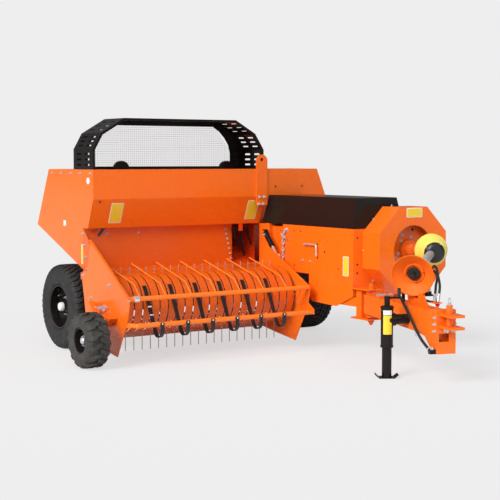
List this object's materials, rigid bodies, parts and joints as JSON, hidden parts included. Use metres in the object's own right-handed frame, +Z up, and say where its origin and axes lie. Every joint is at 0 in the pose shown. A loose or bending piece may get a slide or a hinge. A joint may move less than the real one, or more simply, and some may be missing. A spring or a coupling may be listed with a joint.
{
  "type": "towed small square baler",
  "caption": "Towed small square baler with a side pickup of spring tines, feeder housing, bale chamber, needle yoke, swinging tongue, driveline and jack.",
  "frame": {"origin": "on the ground, below the centre of the whole machine's box", "axes": "+Y to the rear along the bale chamber, -Y forward to the tongue, +X to the machine's left, +Z up"},
  "size_m": [3.178, 5.4262, 2.0571],
  "materials": {
    "orange": "glossy sprayed enamel",
    "black_paint": "glossy black enamel",
    "tyre": "moulded rubber, matt",
    "zinc": "zinc-plated, satin",
    "bare_steel": "machined steel",
    "rubber": "soft black rubber",
    "cone": "pale yellow moulded plastic",
    "black_plastic": "black moulded plastic",
    "cast": "cast, painted"
  },
  "bodies": {
    "root": {"chamber": "orange", "plunger": "black_paint", "front_box": "orange", "gearbox": "cast", "crank_hood": "black_paint", "feeder_housing": "orange", "feeder_deck": "orange", "guard_arch": "black_paint", "guard_mesh": "zinc", "half_covers": "black_paint", "lift_bracket": "orange", "axle": "orange", "knotters": "cast", "knotter_cover": "orange", "metering_bracket": "orange", "tension_frame": "orange", "twine_box": "orange", "flywheel_shield": "orange", "hitch_frame": "orange", "lift_pin": "orange"},
    "wheel_right": {"tyre_right": "tyre", "rim_right": "black_paint"},
    "wheel_left": {"tyre_left": "tyre", "rim_left": "black_paint"},
    "pickup": {"pickup_plate_right": "orange", "pickup_plate_left": "orange", "pickup_tubes": "orange", "strippers": "orange", "straps": "rubber", "gauge_arm": "orange"},
    "reel": {"reel": "zinc"},
    "windguard": {"windguard": "orange"},
    "gauge_wheel": {"gauge_tyre": "tyre", "gauge_rim": "black_paint"},
    "lift_barrel": {"lift_barrel": "black_paint"},
    "lift_rod": {"lift_rod": "zinc"},
    "flywheel": {"flywheel": "orange"},
    "drawbar": {"tongue": "orange", "hitch_head": "orange", "dish": "orange", "dish_bracket": "orange", "jack_mount": "black_paint", "hose_couplers": "bare_steel", "hose_guides": "black_paint", "hose_long": "rubber", "hose_right": "rubber", "hose_left": "rubber", "hose_short": "rubber"},
    "packer": {"packer": "black_paint"},
    "driveline": {"joint_cone": "cone", "joint_collar": "black_plastic", "outer_tube": "zinc"},
    "driveline_slider": {"inner_tube": "zinc"},
    "input_stub": {"input_stub": "bare_steel"},
    "jack": {"jack_tube": "black_paint"},
    "jack_leg": {"jack_leg": "black_paint"},
    "needle_yoke": {"needle_yoke": "orange"},
    "metering_wheel": {"metering_wheel": "zinc"},
    "bale_chute": {"bale_chute": "orange"},
    "twine_lid": {"twine_lid": "orange"}
  },
  "joints": [
    {"name": "wheel_right_spin", "type": "hinge", "parent": "root", "child": "wheel_right", "pos_m": [-1.135, 0.8, 0.38], "axis": [1, 0, 0], "continuous": true},
    {"name": "packer_swing", "type": "hinge", "parent": "root", "child": "packer", "pos_m": [0.462, 0.453, 1.048], "axis": [0, -1, 0], "range_deg": [-12, 12]},
    {"name": "wheel_left_spin", "type": "hinge", "parent": "root", "child": "wheel_left", "pos_m": [1.466, 0.8, 0.38], "axis": [1, 0, 0], "continuous": true},
    {"name": "pickup_lift", "type": "hinge", "parent": "root", "child": "pickup", "pos_m": [-0.34, 0.3, 0.7], "axis": [-1, 0, 0], "range_deg": [0, 20]},
    {"name": "reel_spin", "type": "hinge", "parent": "pickup", "child": "reel", "pos_m": [-0.34, -0.1, 0.455], "axis": [1, 0, 0], "continuous": true},
    {"name": "windguard_lift", "type": "hinge", "parent": "pickup", "child": "windguard", "pos_m": [-0.34, -0.52, 0.565], "axis": [1, 0, 0], "range_deg": [0, 40]},
    {"name": "gauge_wheel_spin", "type": "hinge", "parent": "pickup", "child": "gauge_wheel", "pos_m": [-1.487, -0.3, 0.229], "axis": [1, 0, 0], "continuous": true},
    {"name": "lift_barrel_swing", "type": "hinge", "parent": "root", "child": "lift_barrel", "pos_m": [0.625, 0.262, 1.02], "axis": [-1, 0, 0], "range_deg": [-1, 6]},
    {"name": "lift_rod_slide", "type": "slide", "parent": "lift_barrel", "child": "lift_rod", "axis": [0, -0.6763, -0.7366], "range_m": [-0.1, 0.001]},
    {"name": "flywheel_spin", "type": "hinge", "parent": "root", "child": "flywheel", "pos_m": [1.14, -1.135, 0.915], "axis": [0, -1, 0], "continuous": true},
    {"name": "drawbar_swing", "type": "hinge", "parent": "root", "child": "drawbar", "pos_m": [0.72, -1.2, 0.46], "axis": [0, 0, 1], "range_deg": [0, 30]},
    {"name": "driveline_swing", "type": "hinge", "parent": "root", "child": "driveline", "pos_m": [1.14, -1.5, 0.92], "axis": [0.204, 0.0128, 0.9789], "range_deg": [0, 30]},
    {"name": "driveline_slide", "type": "slide", "parent": "driveline", "child": "driveline_slider", "axis": [-0.7841, -0.6015, -0.153], "range_m": [-0.29, 0.001]},
    {"name": "input_stub_spin", "type": "hinge", "parent": "drawbar", "child": "input_stub", "pos_m": [0.53, -1.968, 0.801], "axis": [-0.7663, -0.588, -0.2588], "continuous": true},
    {"name": "jack_stow", "type": "hinge", "parent": "drawbar", "child": "jack", "pos_m": [0.235, -1.995, 0.455], "axis": [0.9646, -0.2639, 0], "range_deg": [0, 90]},
    {"name": "jack_leg_slide", "type": "slide", "parent": "jack", "child": "jack_leg", "axis": [0, 0, 1], "range_m": [0, 0.2]},
    {"name": "needle_yoke_swing", "type": "hinge", "parent": "root", "child": "needle_yoke", "pos_m": [0.9475, 1.5, 0.88], "axis": [-1, 0, 0], "range_deg": [0, 52]},
    {"name": "metering_wheel_spin", "type": "hinge", "parent": "root", "child": "metering_wheel", "pos_m": [0.9475, 1.4, 1.12], "axis": [1, 0, 0], "continuous": true},
    {"name": "bale_chute_fold", "type": "hinge", "parent": "root", "child": "bale_chute", "pos_m": [0.9475, 2.266, 0.69], "axis": [1, 0, 0], "range_deg": [0, 85]},
    {"name": "twine_lid_open", "type": "hinge", "parent": "root", "child": "twine_lid", "pos_m": [1.244, 1.1, 1.192], "axis": [0, -1, 0], "range_deg": [0, 100]}
  ],
  "couplings": [
    {"joint": "lift_barrel_swing", "follows": "pickup_lift", "ratio": 0.23758},
    {"joint": "lift_rod_slide", "follows": "pickup_lift", "m_per_rad": -0.25139},
    {"joint": "driveline_swing", "follows": "drawbar_swing", "ratio": 0.97165},
    {"joint": "driveline_slide", "follows": "drawbar_swing", "m_per_rad": -0.50018},
    {"joint": "input_stub_spin", "follows": "flywheel_spin", "ratio": 1}
  ]
}
